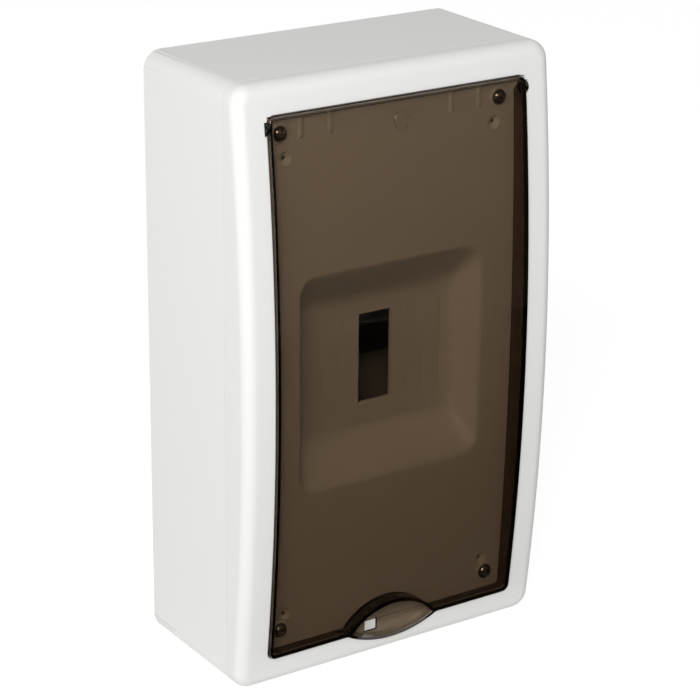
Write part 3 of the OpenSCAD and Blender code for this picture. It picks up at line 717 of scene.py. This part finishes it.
def makePocket():
    # cup in the lower rim that takes the scoop, with the catch standing in it
    extra, wall = scoop["wall"] + scoop["gap"], scoop["pocketWall"]
    floorDepth = scoopBack - scoop["pocketGap"]
    cup = lensPrism("scoopPocket", extra + wall, floorDepth - wall, lambda u: faceDepth(u) - 0.02)
    carve(cup, lensPrism("pocketHollow", extra, floorDepth, faceTop + 5))
    carve(cup, aboveOpening())
    tidyMesh(cup, 32)
    return cup


coverPiece(makePocket())


def makeCatch():
    # upright bar with a rounded-rectangle section, its top edge softened in two steps
    w, h = scoop["catch"][0] / 2, scoop["catch"][1] / 2
    mid, top = tipUp - scoop["catchDrop"], scoopFloor - 0.4
    s = Stations()
    low = seamDepth + 2
    for hx, hz, r, d in ((w, h, 0.6, low), (w, h, 0.6, top - 0.4), (w - 0.15, h - 0.15, 0.5, top - 0.1),
                         (w - 0.45, h - 0.45, 0.3, top)):
        s.add(hx, hz, r, fixed=d, drop=-mid)
    pts, faces = s.mesh(closeRows=False)
    n = pts.shape[1]
    faces = faces + [list(range(n)), list(range(3 * n, 4 * n))]
    pts[..., 0] -= scoop["catchOff"] * mm
    return makeMesh("catchNib", pts, faces)


coverPiece(makeCatch())


def makePads():
    # flat rings round the screws, each a profile turned about the screw's axis
    r, rise = fixing["pad"]
    d, shank = float(panelDepth(fixing["screw"][1])), fixing["shank"]
    prof = [(shank, d - 4), (r, d - 4), (r, d + rise - 0.25), (r - 0.25, d + rise),
            (shank, d + rise), (shank, d - 4)]
    return makeMesh("screwPads", *joined([lathe(prof, (x, 0, up), toFront) for x, up in screwPlaces()]), 30)


coverPiece(makePads())

posts = {"r": 5.0, "foot": seamDepth - 9.0, "clipR": 3.25, "clipRoom": 1.4}


def makePosts():
    # round posts behind the panel for the cover screws, open at the foot for their clips
    end, foot, shank = float(panelDepth(fixing["screw"][1])) - 1.0, posts["foot"], fixing["shank"]
    seat = foot + posts["clipRoom"]
    prof = [(posts["clipR"], foot), (posts["r"], foot), (posts["r"], end), (shank, end), (shank, seat),
            (posts["clipR"], seat), (posts["clipR"], foot)]
    return makeMesh("coverPosts", *joined([lathe(prof, (x, 0, up), toFront) for x, up in screwPlaces()]), 30)


coverPiece(makePosts())


def makeBearings(side):
    # block behind the rim that a hinge pin turns in
    h = bearing["half"]
    x = sorted((side * (box["openW"] / 2 + 0.3), side * (pinEnd + bearing["wall"])))
    top = float(faceDepth(np.array(hingeUp + h))) - bearing["under"]
    name = "hingeBlock" + ("Right" if side > 0 else "Left")
    obj = brick(name, x, (hingeUp - h, hingeUp + h), (hingeDepth - h, top))
    carveBearings(obj)
    tidyMesh(obj, 32)
    return obj


for side in (-1, 1):
    coverPiece(makeBearings(side))

ribs = {"places": (50.0, 34.0), "width": 3.0, "length": 14.8, "rise": 1.0, "square": 2.6}


def makeRibs():
    # each rib: a flat-topped bar with a superellipse section that follows the panel, fading out below
    parts = []
    topUp = box["openH"] / 2
    for x0 in ribs["places"]:
        for s in (-1, 1):
            u = np.linspace(topUp - ribs["length"], topUp, 10)
            a = np.linspace(0, 2 * math.pi, 32, endpoint=False)
            rise = ribs["rise"] * np.clip((u - u[0]) / 1.2, 0.05, 1)
            uu, aa = np.meshgrid(u, a, indexing="ij")
            rr = np.broadcast_to(rise[:, None], uu.shape)
            power = 2 / ribs["square"]
            cosine, sine = [np.sign(v) * np.abs(v) ** power for v in (np.cos(aa), np.sin(aa))]
            x = s * x0 + ribs["width"] / 2 * cosine
            d = panelDepth(uu) - 0.2 + (rr + 0.2) * sine
            pts = rowPoints(x, uu, d)
            n, last = len(a), (len(u) - 1) * len(a)
            faces = gridFaces(len(u), n, closeCols=True)
            faces += [list(range(n)), list(range(last, last + n))]
            parts.append((pts, faces))
    return makeMesh("panelRibs", *joined(parts), 40)


coverPiece(makeRibs())
print("cover's plate, pocket, catch, pads, posts, hinge blocks and ribs")

# Smoked door

def doorFront(up):
    # outer face: the cover's bow, standing proud
    r = faceR + door["proud"]
    return faceTop + door["proud"] - r + np.sqrt(r * r - up ** 2)


def makeDoor():
    # loops from the middle of the bowed front over its edge, down the skirts, round their feet and
    # up inside to the back of the front wall; the depth is blended from the front to the skirts' feet
    hw, hh, r = doorHalfW, box["openH"] / 2 - door["gap"], box["openR"] - door["gap"]
    t, e, fillet, foot = door["wall"], door["edge"], door["innerEdge"], door["foot"]
    iw, ih, ir = hw - t, hh - t, max(r - t, fillet)
    rows = []                              # half x, half z, radius, layer, offset
    squareX, squareZ = hw - 8, hh - 8
    rows.append((squareX, squareZ, 0.0, "front", 0.0))
    rows.append((hw - 4, hh - 4, 1.0, "front", 0.0))
    for a in np.linspace(0, math.pi / 2, 7):
        inset = e * (1 - math.sin(a))
        rows.append((hw - inset, hh - inset, r - inset, "front", -e * (1 - math.cos(a))))
    for share in (0.25, 0.5, 0.75):
        rows.append((hw, hh, r, "side", share))
    rows.append((hw, hh, r, "skirt", foot))
    rows.append((hw - foot, hh - foot, r - foot, "skirt", 0.0))
    rows.append((iw + foot, ih + foot, ir + foot, "skirt", 0.0))
    rows.append((iw, ih, ir, "skirt", foot))
    for share in (0.75, 0.5, 0.25):
        rows.append((iw, ih, ir, "innerSide", share))
    for a in np.linspace(math.pi / 2, 0, 5):
        inset = fillet * (1 - math.sin(a))
        rows.append((iw - inset, ih - inset, max(ir - inset, 0.1), "front", -t - fillet * (1 - math.cos(a))))
    rows.append((hw - 4.5, hh - 4.5, 0.6, "front", -t))
    rows.append((squareX, squareZ, 0.0, "front", -t))
    v = np.array([q[:3] for q in rows])
    x, up = loopXZ(v[:, 0], v[:, 1], v[:, 2])
    depth = np.zeros_like(x)
    # lower rim of the skirts: just over the panel at the sides, level with the hinge along the top
    above = np.clip(up - hingeUp, 0, swingR)
    low = panelDepth(up) + door["skirtGap"]
    low = np.where(up > hingeUp, np.maximum(low, hingeDepth - np.sqrt(swingR ** 2 - above ** 2)), low)
    blend = np.clip((up - (hingeUp - 0.5)) / 0.5, 0, 1) * np.clip((iw + 0.5 - np.abs(x)) / 0.5, 0, 1)
    low = low + (hingeDepth - low) * blend
    for i, (_, _, _, layer, value) in enumerate(rows):
        front = doorFront(up[i])
        if layer == "front":
            depth[i] = front + value
        elif layer == "side":
            depth[i] = (front - e) * (1 - value) + (low[i] + foot) * value
        elif layer == "skirt":
            depth[i] = low[i] + value
        else:
            depth[i] = (front - t - fillet) * (1 - value) + (low[i] + foot) * value
    # nothing above the hinge reaches further from it than the swing allows
    dy, dd = up - hingeUp, depth - hingeDepth
    reach = np.hypot(dy, dd)
    over = (dy > 0) & (reach > swingR)
    k = np.where(over, swingR / np.maximum(reach, 1e-6), 1.0)
    up, depth = hingeUp + dy * k, hingeDepth + dd * k
    pts = rowPoints(x, up, depth)
    faces = gridFaces(len(rows), x.shape[1], closeCols=True)
    outerCap = cap(squareX, squareZ, doorFront)
    innerCap = cap(squareX, squareZ, lambda u: doorFront(u) - t)
    obj = makeMesh("smokedDoorShell", *joined([(pts, faces), outerCap, innerCap]), 40)
    # scoop: a lens-shaped bowl open to the front, with a hole for the catch
    carve(obj, lensPrism("scoopOuter", scoop["wall"], scoopBack, lambda u: doorFront(u) - 0.01), "UNION")
    carve(obj, lensPrism("scoopInner", 0.0, scoopFloor, faceTop + 8))
    w, h = [v / 2 + scoop["catchGap"] for v in scoop["catch"]]
    side, mid = -scoop["catchOff"], tipUp - scoop["catchDrop"]
    carve(obj, brick("catchHole", (side - w, side + w), (mid - h, mid + h), (scoopBack - 1, scoopFloor + 1)))
    # faint raised ring near the upper edge
    r, w, rise = door["mark"]
    turnA = np.linspace(0, 2 * math.pi, 72, endpoint=False)[:, None]
    rollA = np.linspace(0, 2 * math.pi, 12, endpoint=False)[None, :]
    rr = r - w / 2 + w / 2 * np.cos(rollA)
    ringUp = hingeUp - door["markDrop"] + rr * np.sin(turnA)
    ring = rowPoints(rr * np.cos(turnA), ringUp, doorFront(ringUp) + rise * np.sin(rollA))
    carve(obj, makeMesh("markRing", ring, gridFaces(72, 12, closeRows=True, closeCols=True)), "UNION")
    # ears and pins on the hinge line, their ends chamfered
    ear, pin, flat = door["earR"], door["pinR"], 0.3
    prof = [(0, iw), (ear, iw), (ear, earEnd - flat), (ear - flat, earEnd),
            (pin, earEnd), (pin, pinEnd - flat), (pin - flat, pinEnd), (0, pinEnd)]
    for s in (-1, 1):
        pts, faces = lathe(prof, (0, -hingeDepth, hingeUp), (s, 0, 0), 36)
        carve(obj, makeMesh("hingeEar", pts, faces), "UNION")
    tidyMesh(obj, 32)
    evenNormals(obj)
    return obj


doorShell = makeDoor()
wear(doorShell, smokedDoor)
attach(doorShell, "door")
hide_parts("door")
print("door shell", len(doorShell.data.polygons))

# CAD nodes that keep their shape

finishes = {
    "back_box": ("box", "white_base", whiteBase),
    "rail_supports": ("box", "grey_plastic", greyPlastic),
    "din_rail": ("box", "zinc_steel", zincSteel),
    "rail_screws": ("box", "zinc_screws", zincScrew),
    "positive_carrier": ("box", "black_plastic", blackPlastic),
    "positive_bar": ("box", "brass", milledBrass),
    "positive_clamp_screws": ("box", "zinc_screws", zincScrew),
    "positive_guard": ("box", "red_plastic", redPlastic),
    "negative_carrier": ("box", "black_plastic", blackPlastic),
    "negative_bar": ("box", "brass", milledBrass),
    "negative_clamp_screws": ("box", "zinc_screws", zincScrew),
    "negative_guard": ("box", "blue_plastic", bluePlastic),
    "earth_carrier": ("box", "green_plastic", greenPlastic),
    "earth_bar": ("box", "brass", milledBrass),
    "earth_clamp_screws": ("box", "zinc_screws", zincScrew),
    "carrier_screws": ("box", "zinc_screws", zincScrew),
    "cover_screws": ("cover", "dark_screws", darkNickel),
    "screw_clips": ("cover", "zinc_steel", zincSteel),
}
for node, (body, slot, mat) in finishes.items():
    wear(softCopy(node, body), mat)
print("kept nodes", len(finishes))

# Stage, light and camera

stage = {
    "floorHalf": 6.0, "world": 0.30,
    "glow": 0.86, "lit": 0.34,             # floor as it is seen: even white plus a share that shadows dim
    "floorColor": 0.85, "floorRough": 0.9,  # floor as it lights the object
    "key": {"at": (-1.22, -1.28, 1.02), "size": (0.8, 0.8), "power": 32.4},
    # studio cards that the smoked door mirrors: a dark one on the floor, and dim ones behind it and
    # to the side; they are seen only in reflections and through the door
    "cardTint": (1.0, 0.90, 0.78),
    "cards": {
        "lowCard": {"corners": ((-0.5, -0.096, -0.149), (0.9, -0.096, -0.149),
                                (0.9, -0.25, -0.149), (-0.5, -0.99, -0.149)), "tone": 0.012},
        "farCard": {"corners": ((-0.5, -0.99, -0.1485), (0.9, -0.25, -0.1485),
                                (4.2, -3.4, 0.9), (0.6, -5.6, 0.9)), "tone": 0.06},
        "sideCard": {"corners": ((-2.3, 1.2, -0.149), (-2.3, -2.6, -0.149),
                                 (-2.3, -2.6, 2.2), (-2.3, 1.2, 2.2)), "tone": 0.05},
    },
}
seenRays = ("Is Camera Ray", "Is Glossy Ray", "Is Transmission Ray")


def seenFactor(nodes, links):
    # 1 for rays that see the background, straight on, mirrored or through the door
    path = nodes.new("ShaderNodeLightPath")
    out = path.outputs[seenRays[0]]
    for name in seenRays[1:]:
        most = mathNode(nodes, "MAXIMUM")
        links.new(out, most.inputs[0])
        links.new(path.outputs[name], most.inputs[1])
        out = most.outputs[0]
    return out


def quadSheet(name, corners):
    # flat sheet between four corners, part of the studio
    mesh = bpy.data.meshes.new(name)
    mesh.from_pydata(corners, [], [(0, 1, 2, 3)])
    obj = bpy.data.objects.new(name, mesh)
    bpy.context.scene.collection.objects.link(obj)
    return obj


def makeFloor():
    # pale floor: lights the object as a dull sheet, and is seen as white with the object's shadow on it
    far, low = stage["floorHalf"], baseLow[2]
    obj = quadSheet("paleFloor", ((-far, -far, low), (far, -far, low), (far, far, low), (-far, far, low)))
    mat, nt, bsdf = nodeTree("paleFloor")
    n, l = nt.nodes, nt.links
    bsdf.inputs["Base Color"].default_value = (stage["floorColor"],) * 3 + (1,)
    bsdf.inputs["Roughness"].default_value = stage["floorRough"]
    glow = n.new("ShaderNodeEmission")
    glow.inputs["Strength"].default_value = stage["glow"]
    lit = n.new("ShaderNodeBsdfDiffuse")
    lit.inputs["Color"].default_value = (stage["lit"],) * 3 + (1,)
    both = n.new("ShaderNodeAddShader")
    l.new(glow.outputs[0], both.inputs[0])
    l.new(lit.outputs[0], both.inputs[1])
    mix = n.new("ShaderNodeMixShader")
    l.new(seenFactor(n, l), mix.inputs[0])
    l.new(bsdf.outputs[0], mix.inputs[1])
    l.new(both.outputs[0], mix.inputs[2])
    l.new(mix.outputs[0], n["Material Output"].inputs["Surface"])
    wear(obj, mat)


makeFloor()

for name, info in stage["cards"].items():
    card = quadSheet(name, info["corners"])
    for kind in ("camera", "diffuse", "shadow"):
        setattr(card, "visible_" + kind, False)
    mat, nt, bsdf = nodeTree(name)
    nt.nodes.remove(bsdf)
    dim = nt.nodes.new("ShaderNodeEmission")
    dim.inputs["Color"].default_value = (*[info["tone"] * c for c in stage["cardTint"]], 1)
    nt.links.new(dim.outputs[0], nt.nodes["Material Output"].inputs["Surface"])
    wear(card, mat)

world = bpy.data.worlds.new("studio")
bpy.context.scene.world = world
world.use_nodes = True
wn, wl = world.node_tree.nodes, world.node_tree.links
fill = wn["Background"]
fill.inputs["Color"].default_value = (1, 1, 1, 1)
fill.inputs["Strength"].default_value = stage["world"]
seen = wn.new("ShaderNodeBackground")
seen.inputs["Strength"].default_value = 1.0
mixWorld = wn.new("ShaderNodeMixShader")
wl.new(seenFactor(wn, wl), mixWorld.inputs[0])
wl.new(fill.outputs[0], mixWorld.inputs[1])
wl.new(seen.outputs[0], mixWorld.inputs[2])
wl.new(mixWorld.outputs[0], wn["World Output"].inputs["Surface"])
print("stage, world and cards")

info = stage["key"]
keyData = bpy.data.lights.new("keyLamp", "AREA")
keyData.shape = "RECTANGLE"
keyData.size, keyData.size_y = info["size"]
keyData.energy = info["power"]
keyLamp = bpy.data.objects.new("keyLamp", keyData)
bpy.context.scene.collection.objects.link(keyLamp)
keyLamp.location = info["at"]
keyLamp.rotation_euler = (-Vector(info["at"])).to_track_quat("-Z", "Y").to_euler()

view = {"at": (-0.6402, -1.0004, 0.4350), "yaw": 33.794, "pitch": 20.804, "roll": 0.588, "lens": 129.07}
camData = bpy.data.cameras.new("camera")
camData.lens = view["lens"]
camData.sensor_width = 36.0
cam = bpy.data.objects.new("camera", camData)
bpy.context.scene.collection.objects.link(cam)
yaw, pitch, roll = (math.radians(view[k]) for k in ("yaw", "pitch", "roll"))
forward = Vector((math.sin(yaw) * math.cos(pitch), math.cos(yaw) * math.cos(pitch), -math.sin(pitch)))
turn = forward.to_track_quat("-Z", "Y").to_matrix().to_4x4() @ Matrix.Rotation(roll, 4, "Z")
cam.matrix_world = Matrix.Translation(view["at"]) @ turn
bpy.context.scene.camera = cam
bpy.context.scene.view_settings.view_transform = "Standard"
